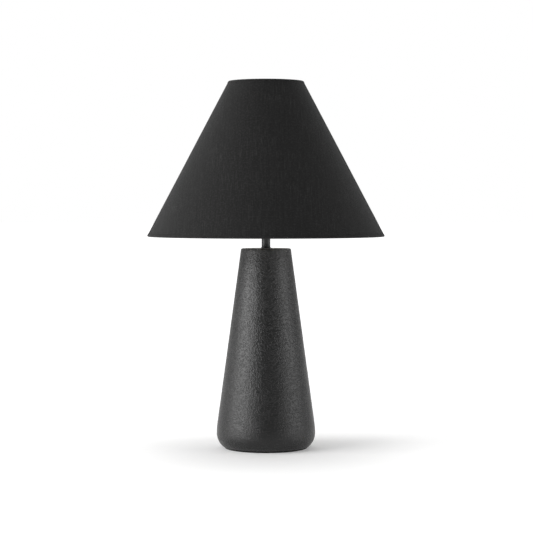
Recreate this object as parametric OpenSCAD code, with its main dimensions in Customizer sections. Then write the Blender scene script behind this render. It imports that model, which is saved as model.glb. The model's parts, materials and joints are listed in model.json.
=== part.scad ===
// Table lamp: a hollow ceramic cone on a soft foot, a short neck, and a wide empire shade
// that hangs from a harp by a recessed spider. Millimetres, +Z up, origin on the table
// under the lamp's axis. The cord would leave through the bushing at the back, on +Y.

/* [Base] */
// Height of the ceramic base's top face above the table
base_h = 300; // [280:1:320]
// Radius of the wall where it meets the top face
base_top_r = 37.4; // [35:0.1:42]
// Largest radius, at the belly
belly_r = 74.15; // [72:0.05:80]
// Height of the belly above the table
belly_z = 22.5; // [20:0.5:24]
// Radius of the turn from the belly down to the foot
foot_turn_r = 26; // [25:0.5:28]
// Radius of the curve from the belly up to the straight wall
belly_blend_r = 114; // [80:1:150]
// Rounding of the top edge
top_edge_r = 2.5; // [1:0.5:4]
// Thickness of the ceramic wall
wall_t = 7; // [6:0.5:8]
// Radius of the foot pad
pad_r = 62.3; // [60:0.1:64]
// Thickness of the foot pad
pad_t = 2.5; // [2:0.1:3]

/* [Lamp pipe and neck] */
// Radius of the lamp pipe, over its thread
pipe_r = 5; // [4.8:0.05:5]
// Radius of the hole through the lamp pipe
pipe_bore_r = 3.5; // [3:0.1:4]
// Radius of the neck tube
neck_r = 6.6; // [6.4:0.1:8]
// Top of the neck tube above the table
neck_top_z = 330; // [322:1:330]
// Bore of the cord bushing
cord_bore_r = 3; // [2.5:0.1:3.5]
// Height of the cord bushing's axis above the table
cord_z = 28; // [27:0.5:30]

/* [Shade] */
// Radius of the cone at the shade's bottom edge
shade_bottom_r = 178.5; // [165:0.5:190]
// Radius of the cone at the shade's top edge
shade_top_r = 56; // [55:0.5:60]
// Height of the shade's bottom edge above the table
shade_bottom_z = 317.7; // [310:0.1:325]
// Height of the shade's top edge above the table
shade_top_z = 550; // [548:1:556]
// Thickness of the fabric
fabric_t = 0.6; // [0.4:0.1:0.8]
// Thickness of the styrene lining
lining_t = 0.8; // [0.5:0.1:1]
// Outer radius of a rolled hem's round edge
hem_r = 1.5; // [1.4:0.1:2]
// Radius of the wire in the two rings
ring_wire_r = 1; // [0.8:0.1:1]
// Depth of the spider's washer below the top edge
spider_drop = 27.5; // [26:0.5:30]

/* [Harp] */
// Half the distance between the harp's legs at the saddle
harp_foot_x = 28.5; // [27:0.5:30]
// Radius of the harp wire
harp_wire_r = 1.8; // [1.5:0.1:2]
// Angle at which the legs lean outwards
harp_lean = 14; // [10:1:18]
// Height of the bend where the legs start to lean
harp_bend_z = 372; // [368:1:376]

/* [Bulb] */
// Radius of the globe
globe_r = 30; // [28:0.5:30]
// Height of the globe's centre above the table
globe_z = 450; // [446:1:452]

/* [Hidden] */
$fn = 96;
fit = 0.05;               // radial running clearance of shafts and sleeves
gap = 0.1;                // glue line and loose fits between fixed pieces
cut = 1;                  // how far a cutting shape runs past a face
ARMS = [90, 210, 330];    // directions of the spider's arms

ceramic = "#2b2c2e";
black_metal = "#1d1d1f";
brass = "#b9975b";
steel = "#b8bcc0";
linen = "#2f2f31";
white = "#efece4";

// the wall is the line from the top face's edge that touches the blend curve
blend_cx = belly_r - belly_blend_r;
wall_run = [base_top_r - blend_cx, base_h - belly_z];
wall_tilt = asin(belly_blend_r / norm(wall_run)) - atan2(wall_run[0], wall_run[1]);
foot_cx = belly_r - foot_turn_r;
foot_flat_a = asin((belly_z - pad_t) / foot_turn_r);
top_edge_cx = base_top_r - top_edge_r * tan(45 - wall_tilt / 2);

// the foot's ledge, the clamped plate and the nut under it
floor_z = 18;
ledge_z = 12;
ledge_r = 50;
recess_r = 56.5;
plate_r = 56;
plate_t = 1.5;
washer_r = 11;
washer_t = 1;
nut_flats = 14;
nut_h = 4.5;
pipe_low_z = 4;
pipe_top_z = 346;
plate_z = ledge_z - plate_t;
washer_z = plate_z - washer_t;
nut_z = washer_z - nut_h;

// stack above the base
check_t = 1.5;
check_r = 7.6;
saddle_t = 1.6;
saddle_w = 14;
cap_z = neck_top_z + saddle_t;

// socket
hub_r = 8.2;
hub_top_z = 338.5;
cap_rise = 11.5;
shell_r = 16.5;
shell_t = 0.6;
shell_z = 350.6;
shell_top_z = 391;
liner_r = 15.8;
liner_t = 0.7;
switch_r = 14.6;
switch_z = 352;
switch_top_z = 370;
sleeve_r = 13.7;
sleeve_t = 0.5;
sleeve_top_z = 389.5;
knob_z = 361;
knob_shaft_r = 1.7;
screw_x = 12;

// bulb
tip_z = 374.3;
tip_r = 4.6;
tip_t = 1.5;
bulb_cap_z = 379;
bulb_cap_r = 12.9;
bulb_cap_top_z = 399;
bulb_split_z = 436;
bulb_wall_t = 1.5;
globe_low_r = sqrt(globe_r * globe_r - (bulb_split_z - globe_z) * (bulb_split_z - globe_z));

// harp: one bend and one large arc that ends level at the top plate
harp_low_z = 342.1;
harp_bend_r = 30;
harp_end_x = 8;
harp_plate_t = 2;
spider_z = shade_top_z - spider_drop;
stud_flange_t = 1.4;
harp_plate_z = spider_z - stud_flange_t - harp_plate_t - gap;
harp_top_z = harp_plate_z + harp_plate_t / 2;
bend_x = harp_foot_x + harp_bend_r * (1 - cos(harp_lean));
bend_z = harp_bend_z + harp_bend_r * sin(harp_lean);
leg_l = (harp_top_z - bend_z) * cos(harp_lean) / (1 + sin(harp_lean)) - (bend_x - harp_end_x);
harp_arc_r = (bend_x - harp_end_x + leg_l * sin(harp_lean)) / cos(harp_lean);
ferrule_l = 12;
ferrule_z = 338.7;
stud_r = 3.1;
stud_top_z = 536;
stud_neck_r = 2.55;

// shade: places along the cone are a distance up the slant and a depth under its face
slant_l = norm([shade_bottom_r - shade_top_r, shade_top_z - shade_bottom_z]);
slant = [shade_top_r - shade_bottom_r, shade_top_z - shade_bottom_z] / slant_l;
inward = [-slant[1], slant[0]];
hem_proud = 0.3;
hem_t = 0.4;
hem_leg = 2.4;
hem_inner_leg = 7;
ring_depth = hem_r - hem_proud;
low_ring_s = (hem_r - ring_depth * inward[1]) / slant[1];
top_ring_s = slant_l - (hem_r + ring_depth * inward[1]) / slant[1];
skin_low_s = low_ring_s + hem_r - 0.2;
skin_top_s = top_ring_s - hem_r + 0.2;
washer_hole_r = 3.4;
spider_washer_r = 11;
spider_washer_t = 1.5;
arm_r = 1.1;
arm_z = spider_z + 1.7;
arm_points = [
    [9, arm_z], [40, arm_z],
    on_cone(top_ring_s, ring_depth) - [7, 0], on_cone(top_ring_s, ring_depth) - [0.4, 0]
];

// finial
finial_z = spider_z + spider_washer_t + gap;
insert_flange_r = 7.5;
insert_r = 4.5;
insert_top_z = finial_z + 14;
finial_top_z = finial_z + 21;

function arc(c, r, a0, a1, n) = [for (i = [0 : n]) let (a = a0 + (a1 - a0) * i / n) c + r * [cos(a), sin(a)]];
function unit(v) = v / norm(v);
function mirrored(half) = concat(half, [for (i = [len(half) - 1 : -1 : 0]) [-half[i][0], half[i][1]]]);
function on_cone(s, depth) = [shade_bottom_r, shade_bottom_z] + s * slant + depth * inward;

// ---- shared shapes ----

module ring(outer, inner, low, high) {
    difference() {
        translate([0, 0, low]) cylinder(r = outer, h = high - low);
        translate([0, 0, low - cut]) cylinder(r = inner, h = high - low + 2 * cut);
    }
}

// a wire hoop round the lamp's axis, through a point of the half section
module hoop(c, wire_r) {
    rotate_extrude() translate(c) circle(r = wire_r, $fn = 32);
}

// a round wire along a path in the XZ plane, mitred where the path bends
module wire(path, r, sides = 12) {
    last = len(path) - 1;
    rings = [
        for (i = [0 : last])
            let (
                before = unit(path[i] - path[max(i - 1, 0)] + (i == 0 ? path[1] - path[0] : [0, 0])),
                after = unit(path[min(i + 1, last)] - path[i] + (i == last ? path[i] - path[i - 1] : [0, 0])),
                along = unit(before + after),
                mitre = r / (before * along)
            )
            for (k = [0 : sides - 1])
                let (a = 360 * k / sides)
                [path[i][0] - along[1] * mitre * cos(a), r * sin(a), path[i][1] + along[0] * mitre * cos(a)]
    ];
    walls = [
        for (i = [0 : last - 1]) for (k = [0 : sides - 1])
            let (a = i * sides + k, b = i * sides + (k + 1) % sides)
            [a, b, b + sides, a + sides]
    ];
    polyhedron(rings, concat(
        [[for (k = [sides - 1 : -1 : 0]) k]], walls, [[for (k = [0 : sides - 1]) last * sides + k]]
    ));
}

module both_sides() {
    children();
    mirror([1, 0, 0]) children();
}

// a cylinder along +Y at a height, between two distances from the lamp's axis
module rod_y(r, y0, y1, z) {
    translate([0, y0, z]) rotate([-90, 0, 0]) cylinder(r = r, h = y1 - y0);
}

// ---- base ----

module base_outline() {
    polygon(concat(
        [[0, pad_t]],
        arc([foot_cx, belly_z], foot_turn_r, -foot_flat_a, 0, 12),
        arc([blend_cx, belly_z], belly_blend_r, wall_tilt / 3, wall_tilt, 2),
        arc([top_edge_cx, base_h - top_edge_r], top_edge_r, wall_tilt, 90, 6),
        [[0, base_h]]
    ));
}

module cavity_outline() {
    polygon(concat(
        [[0, floor_z]],
        arc([foot_cx, belly_z], foot_turn_r - wall_t, asin((floor_z - belly_z) / (foot_turn_r - wall_t)), 0, 2),
        arc([blend_cx, belly_z], belly_blend_r - wall_t, wall_tilt / 3, wall_tilt, 2),
        [[base_top_r - wall_t, base_h - wall_t - 2], [0, base_h - wall_t - 2]]
    ));
}

module base_body() {
    color(ceramic) difference() {
        rotate_extrude() base_outline();
        rotate_extrude() cavity_outline();
        translate([0, 0, ledge_z - cut]) cylinder(r = ledge_r, h = floor_z - ledge_z + 2 * cut);
        translate([0, 0, pad_t - cut]) cylinder(r = recess_r, h = ledge_z - pad_t + cut);
        translate([0, 0, base_h - 3 * wall_t]) cylinder(r = pipe_r + 0.6, h = 4 * wall_t);
        rod_y(cord_bore_r + 2, foot_cx, belly_r + 10, cord_z);
    }
}

module foot_pad() {
    color("#151515") ring(pad_r, 16, 0, pad_t);
}

module bottom_plate() {
    color(steel) ring(plate_r, pipe_r + 0.3, plate_z, ledge_z);
}

module bottom_washer() {
    color(steel) ring(washer_r, pipe_r + 0.2, washer_z, plate_z);
}

module bottom_nut() {
    color(steel) difference() {
        translate([0, 0, nut_z]) cylinder(r = nut_flats / 2 / cos(30), h = nut_h, $fn = 6);
        translate([0, 0, nut_z - cut]) cylinder(r = pipe_r + fit, h = nut_h + 2 * cut);
    }
}

module threaded_rod() {
    color(steel) ring(pipe_r, pipe_bore_r, pipe_low_z, pipe_top_z);
}

// a snap bushing: a flange outside, a sleeve through the wall and a barb inside
module cord_bushing() {
    color("#121212") difference() {
        union() {
            rod_y(cord_bore_r + 5, belly_r + gap, belly_r + 2.2, cord_z);
            rod_y(cord_bore_r + 2 - gap, belly_r - 9.5, belly_r + 2.2, cord_z);
            rod_y(cord_bore_r + 3.2, belly_r - 9.5, belly_r - 8, cord_z);
        }
        rod_y(cord_bore_r, belly_r - 9.5 - cut, belly_r + 2.2 + cut, cord_z);
    }
}

// ---- neck and saddle ----

module check_ring() {
    color(black_metal) ring(check_r, pipe_r + 0.3, base_h, base_h + check_t);
}

module neck_tube() {
    color(black_metal) ring(neck_r, pipe_r + 0.4, base_h + check_t, neck_top_z);
}

// a strip bent up at both ends, each with a post that the harp's leg stands on
module harp_saddle() {
    color(brass) {
        difference() {
            translate([0, saddle_w / 2, 0]) rotate([90, 0, 0]) linear_extrude(saddle_w) polygon(mirrored([
                [21, neck_top_z], [harp_foot_x + 2, neck_top_z + 6], [harp_foot_x + 2, neck_top_z + 8.6],
                [harp_foot_x - 2, neck_top_z + 8.6], [harp_foot_x - 2, neck_top_z + 7.2], [20.4, cap_z]
            ]));
            translate([0, 0, neck_top_z - cut]) cylinder(r = pipe_r + 0.2, h = saddle_t + 2 * cut);
        }
        both_sides() translate([harp_foot_x, 0, neck_top_z + 8])
            cylinder(r = harp_wire_r, h = harp_low_z - neck_top_z - 8 - gap);
    }
}

// ---- harp ----

// up from the saddle, out round a small bend, and in round a large arc to the top plate
module harp_leg() {
    wire(concat(
        [[harp_foot_x, harp_low_z]],
        arc([harp_foot_x + harp_bend_r, harp_bend_z], harp_bend_r, 180, 180 - harp_lean, 3),
        arc([harp_end_x, harp_top_z - harp_arc_r], harp_arc_r, -harp_lean, 90, 14)
    ), harp_wire_r);
}

module harp() {
    color(brass) difference() {
        union() {
            both_sides() harp_leg();
            translate([-harp_end_x - 2, -5, harp_plate_z]) cube([2 * harp_end_x + 4, 10, harp_plate_t]);
        }
        translate([0, 0, harp_plate_z - cut]) cylinder(r = stud_neck_r + fit, h = harp_plate_t + 2 * cut);
    }
}

module harp_ferrule(side) {
    color(brass) translate([side * harp_foot_x, 0, 0]) difference() {
        translate([0, 0, ferrule_z]) cylinder(r1 = 4.2, r2 = 3.4, h = ferrule_l, $fn = 64);
        translate([0, 0, ferrule_z - cut]) cylinder(r = harp_wire_r + 0.3, h = ferrule_l + 2 * cut);
    }
}
module harp_ferrule_left() { harp_ferrule(-1); }
module harp_ferrule_right() { harp_ferrule(1); }

// a rivet head under the plate, a neck that turns in it, a flange and the screwed end
module harp_stud() {
    color(brass) {
        translate([0, 0, harp_plate_z - 2]) cylinder(r = 4.2, h = 2 - gap);
        translate([0, 0, harp_plate_z - 0.5]) cylinder(r = stud_neck_r, h = harp_plate_t + 1);
        translate([0, 0, spider_z - stud_flange_t]) cylinder(r = 6.5, h = stud_flange_t - fit);
        translate([0, 0, spider_z - 0.5]) cylinder(r = stud_r, h = stud_top_z - spider_z + 0.5);
    }
}

// ---- socket ----

module socket_cap() {
    bowl_r = shell_r + 0.1 + 0.7;
    color(brass) difference() {
        rotate_extrude() polygon(concat(
            [[pipe_r + fit, cap_z], [hub_r, cap_z], [hub_r, hub_top_z]],
            [for (a = [15 : 15 : 90]) [hub_r + (bowl_r - hub_r) * sin(a), hub_top_z + cap_rise * (1 - cos(a))]],
            [[bowl_r, shell_z + 3], [bowl_r - 0.7, shell_z + 3]],
            [for (a = [90 : -15 : 15])
                [hub_r - 1 + (bowl_r - hub_r + 0.3) * sin(a), hub_top_z + 1 + (cap_rise - 1) * (1 - cos(a))]],
            [[hub_r - 1, hub_top_z + 1], [pipe_r + fit, hub_top_z + 1]]
        ));
        rod_y(1.55, 2, hub_r + cut, cap_z + 3.4);
    }
}

module socket_set_screw() {
    color(steel) rod_y(1.5, pipe_r + 0.1, hub_r + 1.6, cap_z + 3.4);
}

module socket_shell() {
    color(brass) difference() {
        union() {
            ring(shell_r, shell_r - shell_t, shell_z, shell_top_z);
            hoop([shell_r - 0.4, shell_top_z], 0.8);
        }
        rod_y(2.4, -shell_r - cut, 0, knob_z);
    }
}

module socket_insulator() {
    color("#d9cfb4") difference() {
        ring(liner_r, liner_r - liner_t, shell_z + 0.6, shell_top_z - 2);
        rod_y(2.4, -shell_r - cut, 0, knob_z);
    }
}

module socket_switch_body() {
    color("#2a2522") difference() {
        translate([0, 0, switch_z]) cylinder(r = switch_r, h = switch_top_z - switch_z);
        rod_y(knob_shaft_r + fit, -switch_r - cut, 0, knob_z);
        both_sides() {
            translate([screw_x + 3, 0, knob_z]) cube([6, 9, 9], center = true);
            translate([8, 0, knob_z]) rotate([0, 90, 0]) cylinder(r = 1.6, h = 10, center = true);
        }
    }
}

module socket_screw_shell() {
    color(brass) {
        ring(sleeve_r, sleeve_r - sleeve_t, switch_top_z, sleeve_top_z);
        ring(sleeve_r, 5, switch_top_z, switch_top_z + 0.6);
    }
}

// a leaf that springs up under the bulb's tip
module socket_contact() {
    color(brass) {
        translate([0, 0, switch_top_z]) cylinder(r = 1.5, h = 3.2);
        translate([0, 0, switch_top_z + 3]) cylinder(r = 3, h = 1.2);
    }
}

module terminal_screws() {
    color(brass) both_sides() translate([screw_x, 0, knob_z]) rotate([0, 90, 0]) {
        translate([0, 0, -7]) cylinder(r = 1.5, h = 7);
        cylinder(r = 3, h = 1.6);
    }
}

module switch_knob() {
    grip_r = 6;
    color(black_metal) difference() {
        union() {
            rod_y(knob_shaft_r, -22, -4, knob_z);
            translate([0, -20, knob_z]) rotate([90, 0, 0]) rotate_extrude() polygon([
                [0, 0], [4, 0], [5.2, 1.5], [grip_r, 11.5], [grip_r - 1, 13], [0, 13]
            ]);
        }
        for (a = [0 : 30 : 330]) translate([0, -21.5, knob_z]) rotate([90, a, 0])
            translate([grip_r + 0.4, 0, 0]) cylinder(r = 1.1, h = 13, $fn = 32);
    }
}

// ---- bulb ----

module bulb_contact() {
    color("#c9c9c4") translate([0, 0, tip_z]) cylinder(r1 = tip_r - 1, r2 = tip_r, h = tip_t);
}

module bulb_insulator() {
    color("#141414") translate([0, 0, tip_z + tip_t + gap])
        cylinder(r1 = tip_r + 0.6, r2 = bulb_cap_r - 1.4, h = bulb_cap_z - tip_z - tip_t - 2 * gap);
}

module bulb_screw_cap() {
    color(steel) {
        ring(bulb_cap_r, bulb_cap_r - 0.5, bulb_cap_z, bulb_cap_top_z);
        translate([0, 0, bulb_cap_z]) cylinder(r = bulb_cap_r, h = 0.6);
    }
}

// the plastic cone between the screw cap and the globe
module bulb_housing() {
    neck = bulb_cap_r - 0.6;
    brim = globe_low_r;
    color(white) rotate_extrude() polygon([
        [neck, bulb_cap_top_z - 10], [neck, bulb_cap_top_z + gap], [neck + 1.2, bulb_cap_top_z + gap],
        [neck + 1.8, bulb_cap_top_z + 4], [neck + 6, bulb_split_z - 20], [brim - 1.4, bulb_split_z - 6],
        [brim, bulb_split_z], [brim - bulb_wall_t, bulb_split_z],
        [brim - 1.4 - bulb_wall_t, bulb_split_z - 6], [neck + 6 - bulb_wall_t, bulb_split_z - 20],
        [neck - 1.2, bulb_cap_top_z + 4], [neck - 1.2, bulb_cap_top_z - 10]
    ]);
}

module bulb_diffuser() {
    color("#fbfaf5") difference() {
        translate([0, 0, globe_z]) sphere(r = globe_r);
        translate([0, 0, globe_z]) sphere(r = globe_r - bulb_wall_t);
        translate([0, 0, bulb_split_z - 2 * globe_r + gap])
            cylinder(r = globe_r + cut, h = 2 * globe_r);
    }
}

// ---- shade ----

module cone_skin(depth, t) {
    rotate_extrude() polygon([
        on_cone(skin_low_s, depth), on_cone(skin_top_s, depth),
        on_cone(skin_top_s, depth + t), on_cone(skin_low_s, depth + t)
    ]);
}

module shade_fabric() {
    color(linen) cone_skin(0, fabric_t);
}

module shade_lining() {
    color(white) cone_skin(fabric_t + gap, lining_t);
}

module top_ring() {
    color(steel) hoop(on_cone(top_ring_s, ring_depth), ring_wire_r);
}

module bottom_ring() {
    color(steel) hoop(on_cone(low_ring_s, ring_depth), ring_wire_r);
}

// fabric rolled round a ring: a short outer leg, a half turn, and a leg glued to the lining;
// way is 1 at the bottom edge and -1 at the top edge
module hem(s, way) {
    c = on_cone(s, ring_depth);
    under = fabric_t + lining_t + 2 * gap;
    out_a = atan2(-inward[1], -inward[0]);
    in_a = out_a - way * 180;
    rotate_extrude() polygon(concat(
        [on_cone(s + way * hem_leg, -gap), on_cone(s + way * hem_leg, -hem_proud)],
        arc(c, hem_r, out_a, in_a, 10),
        [on_cone(s + way * hem_inner_leg, under + hem_t), on_cone(s + way * hem_inner_leg, under)],
        [on_cone(s + way * hem_r, ring_depth + hem_r - hem_t)],
        arc(c, hem_r - hem_t, in_a, out_a, 10),
        [on_cone(s, -gap)]
    ));
}

// one bent wire from the washer, up inside the shade and out to the top ring
module spider_arm(r) {
    wire(arm_points, r);
}

// the top hem is notched where the arms run to the ring
module top_trim() {
    color(linen) difference() {
        hem(top_ring_s, -1);
        for (a = ARMS) rotate([0, 0, a]) spider_arm(arm_r + 0.3);
    }
}

module bottom_trim() {
    color(linen) hem(low_ring_s, 1);
}

module spider() {
    color(steel) {
        ring(spider_washer_r, washer_hole_r, spider_z, spider_z + spider_washer_t);
        for (a = ARMS) rotate([0, 0, a]) spider_arm(arm_r);
    }
}

// ---- finial ----

module finial_insert() {
    color(brass) difference() {
        union() {
            translate([0, 0, finial_z]) cylinder(r = insert_flange_r, h = 1.5);
            translate([0, 0, finial_z]) cylinder(r = insert_r, h = insert_top_z - finial_z);
        }
        translate([0, 0, finial_z - cut]) cylinder(r = stud_r + 0.15, h = stud_top_z - finial_z + 0.5 + cut);
    }
}

module finial_knob() {
    knob_low_z = finial_z + 1.5 + gap;
    color(black_metal) difference() {
        rotate_extrude() polygon(concat(
            [[0, knob_low_z], [7, knob_low_z]],
            arc([0, (knob_low_z + finial_top_z) / 2 + 1], 9, -35, 35, 6),
            [[6, finial_top_z], [0, finial_top_z]]
        ));
        translate([0, 0, knob_low_z - cut]) cylinder(r = insert_r + fit, h = insert_top_z - knob_low_z + cut + gap);
    }
}

// ---- assembly ----

base_body();
foot_pad();
bottom_plate();
bottom_washer();
bottom_nut();
threaded_rod();
cord_bushing();
check_ring();
neck_tube();
harp_saddle();
harp();
harp_ferrule_left();
harp_ferrule_right();
harp_stud();
socket_cap();
socket_set_screw();
socket_shell();
socket_insulator();
socket_switch_body();
socket_screw_shell();
socket_contact();
terminal_screws();
switch_knob();
bulb_contact();
bulb_insulator();
bulb_screw_cap();
bulb_housing();
bulb_diffuser();
shade_fabric();
shade_lining();
top_ring();
bottom_ring();
spider();
top_trim();
bottom_trim();
finial_knob();
finial_insert();
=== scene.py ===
# %% [markdown]
# # A table lamp with a pebbled black base and a black linen shade
#
# The real lamp is a tall cone of stoneware with a rounded foot and a black pebbled glaze, a short black neck, and
# a wide cone of black linen that hangs on a wire harp round the bulb. Its measured model was made first, and it
# is loaded here as a frame that stays fixed. Each cell below replaces one plain solid of that frame with a piece
# that looks made, or gives a solid its finish. Lengths are in metres, +Z is up and -Y faces the reader.

# %% Load the measured frame
import json
import math

import bmesh
import bpy
from mathutils import Matrix, Vector, noise

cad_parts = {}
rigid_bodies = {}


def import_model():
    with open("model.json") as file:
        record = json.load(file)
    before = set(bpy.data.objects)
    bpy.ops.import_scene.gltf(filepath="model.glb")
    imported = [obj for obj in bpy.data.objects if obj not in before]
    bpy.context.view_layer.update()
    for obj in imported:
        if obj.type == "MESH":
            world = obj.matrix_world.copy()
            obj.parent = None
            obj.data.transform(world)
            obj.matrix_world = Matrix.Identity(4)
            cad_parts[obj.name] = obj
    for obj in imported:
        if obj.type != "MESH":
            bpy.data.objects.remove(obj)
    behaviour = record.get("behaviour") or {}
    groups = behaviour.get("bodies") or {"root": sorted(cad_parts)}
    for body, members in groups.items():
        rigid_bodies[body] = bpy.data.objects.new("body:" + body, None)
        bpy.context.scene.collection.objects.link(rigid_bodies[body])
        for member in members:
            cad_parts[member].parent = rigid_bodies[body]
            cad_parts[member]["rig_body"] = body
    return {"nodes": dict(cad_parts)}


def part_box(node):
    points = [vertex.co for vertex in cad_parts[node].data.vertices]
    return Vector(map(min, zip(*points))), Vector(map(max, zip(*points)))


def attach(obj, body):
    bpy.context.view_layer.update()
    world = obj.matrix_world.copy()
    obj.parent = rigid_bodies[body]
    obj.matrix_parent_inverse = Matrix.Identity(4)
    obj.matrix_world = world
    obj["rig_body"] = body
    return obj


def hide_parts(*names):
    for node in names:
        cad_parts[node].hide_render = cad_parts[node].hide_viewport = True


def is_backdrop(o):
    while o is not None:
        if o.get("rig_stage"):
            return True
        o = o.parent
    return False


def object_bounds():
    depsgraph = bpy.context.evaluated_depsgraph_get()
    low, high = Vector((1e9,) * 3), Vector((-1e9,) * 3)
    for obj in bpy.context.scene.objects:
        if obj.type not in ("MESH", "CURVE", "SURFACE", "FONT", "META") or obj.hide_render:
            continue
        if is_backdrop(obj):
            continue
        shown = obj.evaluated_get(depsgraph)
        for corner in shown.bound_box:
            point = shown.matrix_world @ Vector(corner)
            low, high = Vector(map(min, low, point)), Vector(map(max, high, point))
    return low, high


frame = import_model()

cad_low, cad_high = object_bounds()
MM = 0.001
TURN = math.tau
scene = bpy.context.scene
solids = frame["nodes"]

# %% [markdown]
# ## The camera
#
# A lamp is photographed from far off with a long lens, so that its ellipses stay shallow and its sides stay
# straight. The camera stands a little above the middle of the lamp and tips down by two degrees.

# %% Place the camera
STAND, TIP_DOWN, LENS = (0.0008, -2.622, 0.367), 2.06, 118
camera_data = bpy.data.cameras.new("camera")
camera_data.lens, camera_data.sensor_width = LENS, 36
camera = bpy.data.objects.new("camera", camera_data)
camera.location = STAND
camera.rotation_euler = (math.radians(90 - TIP_DOWN), 0, 0)
scene.collection.objects.link(camera)
scene.camera = camera
print("camera", tuple(round(v, 3) for v in camera.location), "lens", camera_data.lens)

# %% [markdown]
# ## Nodes in code
#
# Materials and Geometry Nodes are both graphs of nodes. Wiring them by hand in code is long, so small helpers
# do it: `node` makes one node and feeds its sockets, and `calc` and `vector` do one sum in the tree that their
# sockets are in. `spread` maps a range of numbers softly to another range, which is how most of the patterns
# below get their contrast.

# %% Helpers that wire nodes
def node(tree, kind, feeds=None, **settings):
    """Makes a node. Feeds are its sockets: a link where the value is a socket, and a plain value otherwise."""
    made = tree.nodes.new(kind)
    for key, value in settings.items():
        setattr(made, key, value)
    for key, value in (feeds or {}).items():
        if isinstance(value, bpy.types.NodeSocket):
            tree.links.new(value, made.inputs[key])
        else:
            made.inputs[key].default_value = value
    return made


def tree_of(values):
    """The tree that the first socket among the values is in."""
    return next(value.id_data for value in values if isinstance(value, bpy.types.NodeSocket))


def calc(operation, *values):
    """One sum, such as SINE or POWER, of numbers and sockets."""
    return node(tree_of(values), "ShaderNodeMath", dict(enumerate(values)), operation=operation).outputs[0]


def plus(*values):
    return calc("ADD", *values)


def minus(*values):
    return calc("SUBTRACT", *values)


def times(*values):
    return calc("MULTIPLY", *values)


def vector(operation, *values):
    """One sum of vectors; a length and a dot product are numbers, and the others are vectors."""
    sums = node(tree_of(values), "ShaderNodeVectorMath", dict(enumerate(values)), operation=operation)
    return sums.outputs[1 if operation in ("LENGTH", "DOT_PRODUCT") else 0]


def spread(value, low, high, to_low=0.0, to_high=1.0):
    """Maps low..high softly to to_low..to_high."""
    feeds = {"Value": value, 1: low, 2: high, 3: to_low, 4: to_high}
    return node(value.id_data, "ShaderNodeMapRange", feeds, interpolation_type="SMOOTHSTEP").outputs[0]


def mixed(factor, first, second):
    """A colour between two colours."""
    return node(factor.id_data, "ShaderNodeMix", {0: factor, 6: first, 7: second}, data_type="RGBA").outputs[2]


def grey(value, warm=0.0):
    """A colour of one brightness, a touch warmer where warm is above 0."""
    return (value * (1 + warm), value, value * (1 - warm), 1)


def shader(name, **even_values):
    """A new material's node tree and its Principled shader, with the even values set on the shader's sockets."""
    material = bpy.data.materials.new(name)
    material.use_nodes = True
    skin = material.node_tree.nodes["Principled BSDF"]
    for socket, value in even_values.items():
        skin.inputs[socket.replace("_", " ")].default_value = value
    return material, material.node_tree, skin


def cloud(place, size, detail=3.0, rough=0.5):
    """Noise whose lumps are about that size, in metres."""
    feeds = {"Vector": place, "Scale": 1 / size, "Detail": detail, "Roughness": rough}
    return node(place.id_data, "ShaderNodeTexNoise", feeds).outputs[0]


def clad(skin, color, roughness, height, depth, strength=1.0):
    """Feeds the shader a colour, a roughness, and a height of 0..1 as bumps of that depth in metres."""
    tree = skin.id_data
    tree.links.new(color, skin.inputs["Base Color"])
    tree.links.new(roughness, skin.inputs["Roughness"])
    bump = node(tree, "ShaderNodeBump", {"Height": height, "Distance": depth, "Strength": strength})
    tree.links.new(bump.outputs[0], skin.inputs["Normal"])


print("node helpers ready")

# %% [markdown]
# ## One recipe for the plain finishes
#
# Paint, rubber, brass and steel are each nearly one colour, and yet none is even: the colour drifts over a few
# centimetres, handling leaves small smudges that change the gloss, and the surface has a grain. One recipe
# with a few numbers gives all of them. Drawn or turned metal has a grain that is long one way, so the recipe
# can stretch it.

# %% The recipe for a plain finish
def finish(name, dark, light, gloss, grain, depth, drift=0.03, brushed=None, strength=0.5, **even_values):
    """A material that drifts from dark to light, with a roughness range and a grain of that size and depth."""
    material, tree, skin = shader(name, **even_values)
    place = node(tree, "ShaderNodeTexCoord").outputs["Object"]
    if brushed:
        level, up = brushed
        fine = cloud(vector("MULTIPLY", place, (1 / level, 1 / level, 1 / up)), 1.0, 4)
    else:
        fine = cloud(place, grain, 4)
    tone = plus(times(fine, 0.45), times(cloud(place, drift), 0.55))
    smudge = spread(cloud(place, drift * 0.4, 5, 0.6), 0.35, 0.65, *gloss)
    clad(skin, mixed(spread(tone, 0.32, 0.68), dark, light), smudge, fine, depth, strength)
    return material


print("plain finish recipe ready")

# %% [markdown]
# ## The pebbled glaze
#
# The glaze crawls as it melts and sets in small rounded pebbles about two millimetres apart, with pits between
# them. It is satin: the tops of the pebbles are rubbed smoother than the pits. The colour is painted lighter on
# the pebbles and darker in the pits, a painted highlight and painted shade. The larger lumps are real relief,
# made later with Geometry Nodes, and the finest ones are bumps in the material. A smooth Voronoi pattern gives
# rounded cells that touch, as the pebbles do, and noise bends them out of step.

# %% Mix the pebbled glaze
PEBBLES_A_METRE, PITS_A_METRE = 520.0, 260.0


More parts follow.
